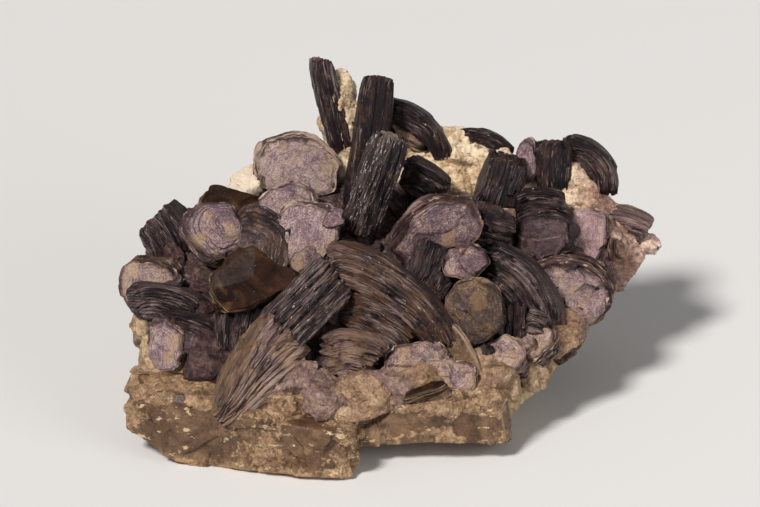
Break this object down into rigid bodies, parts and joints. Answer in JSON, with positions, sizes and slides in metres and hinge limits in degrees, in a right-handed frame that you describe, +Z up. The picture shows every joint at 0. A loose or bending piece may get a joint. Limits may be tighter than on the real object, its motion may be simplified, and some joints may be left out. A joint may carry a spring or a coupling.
{
  "type": "lepidolite on albite specimen",
  "caption": "Mineral specimen: curved books, discs and blades of lilac to plum lepidolite mica crowded on albite that stands on a slab of smoky quartz.",
  "frame": {"origin": "in the flat underside of the albite, below the middle of the crystal front", "axes": "+X to the right as the crystals are faced, along the specimen's length; +Y to the back; +Z up"},
  "size_m": [0.1524, 0.1092, 0.0884],
  "materials": {
    "lepidolite_lilac": "pearly lilac mica faces, mottled, with fine concentric growth ridges",
    "lepidolite_mauve": "pearly pale mauve mica faces",
    "lepidolite_plum": "dark plum sheet edges, finely striated, with a pearly sheen",
    "lepidolite_tan": "mica stained tan and olive brown, striated",
    "lepidolite_smoky": "dark brown glassy mica plates",
    "albite": "cream white, granular to blocky",
    "quartz": "smoky grey brown, glassy, with a tan crust along its edges"
  },
  "bodies": {
    "root": {"quartz_slab": "quartz", "albite_matrix": "albite", "smoky_plate": "lepidolite_smoky", "fluted_fan": "lepidolite_tan", "lump_left": "lepidolite_lilac", "lump_right": "lepidolite_tan", "low_dome": "lepidolite_tan", "barrel_long": "lepidolite_plum", "striated_wedge": "lepidolite_plum", "thin_sheet": "lepidolite_smoky", "disc_olive": "lepidolite_tan", "blade_mid": "lepidolite_plum", "barrel_under": "lepidolite_plum", "low_face": "lepidolite_lilac", "low_sparkle": "lepidolite_tan", "blade_west": "lepidolite_plum", "plum_mass": "lepidolite_plum", "left_plate": "lepidolite_lilac", "disc_ridged": "lepidolite_lilac", "disc_arched": "lepidolite_plum", "disc_double": "lepidolite_lilac", "left_shelf": "lepidolite_plum", "left_shelf_low": "lepidolite_plum", "left_disc": "lepidolite_lilac", "column_front": "lepidolite_plum", "lobe_mid": "lepidolite_lilac", "dark_post": "lepidolite_plum", "low_plum": "lepidolite_plum", "low_right": "lepidolite_lilac", "book_centre": "lepidolite_lilac", "dark_arch": "lepidolite_plum", "disc_smoky": "lepidolite_smoky", "dark_mid": "lepidolite_plum", "left_back_book": "lepidolite_plum", "wedge_dark": "lepidolite_plum", "barrel_upper": "lepidolite_plum", "book_right": "lepidolite_lilac", "disc_top": "lepidolite_lilac", "column_back": "lepidolite_plum", "face_mauve": "lepidolite_mauve", "dark_back": "lepidolite_plum", "spike": "lepidolite_plum", "arch_top": "lepidolite_plum", "knob": "lepidolite_lilac", "back_blade": "lepidolite_plum", "arch_right": "lepidolite_plum", "arc_top": "lepidolite_plum", "book_tip": "lepidolite_plum", "hidden_book": "lepidolite_plum", "left_end_book": "lepidolite_lilac", "left_end_edge": "lepidolite_plum", "rear_top_book": "lepidolite_plum", "rear_left_plate": "lepidolite_lilac", "rear_mid_book": "lepidolite_plum", "rear_right_book": "lepidolite_lilac", "rear_low_book": "lepidolite_plum", "rear_low_plate": "lepidolite_lilac", "rear_tip_book": "lepidolite_plum"}
  },
  "joints": []
}
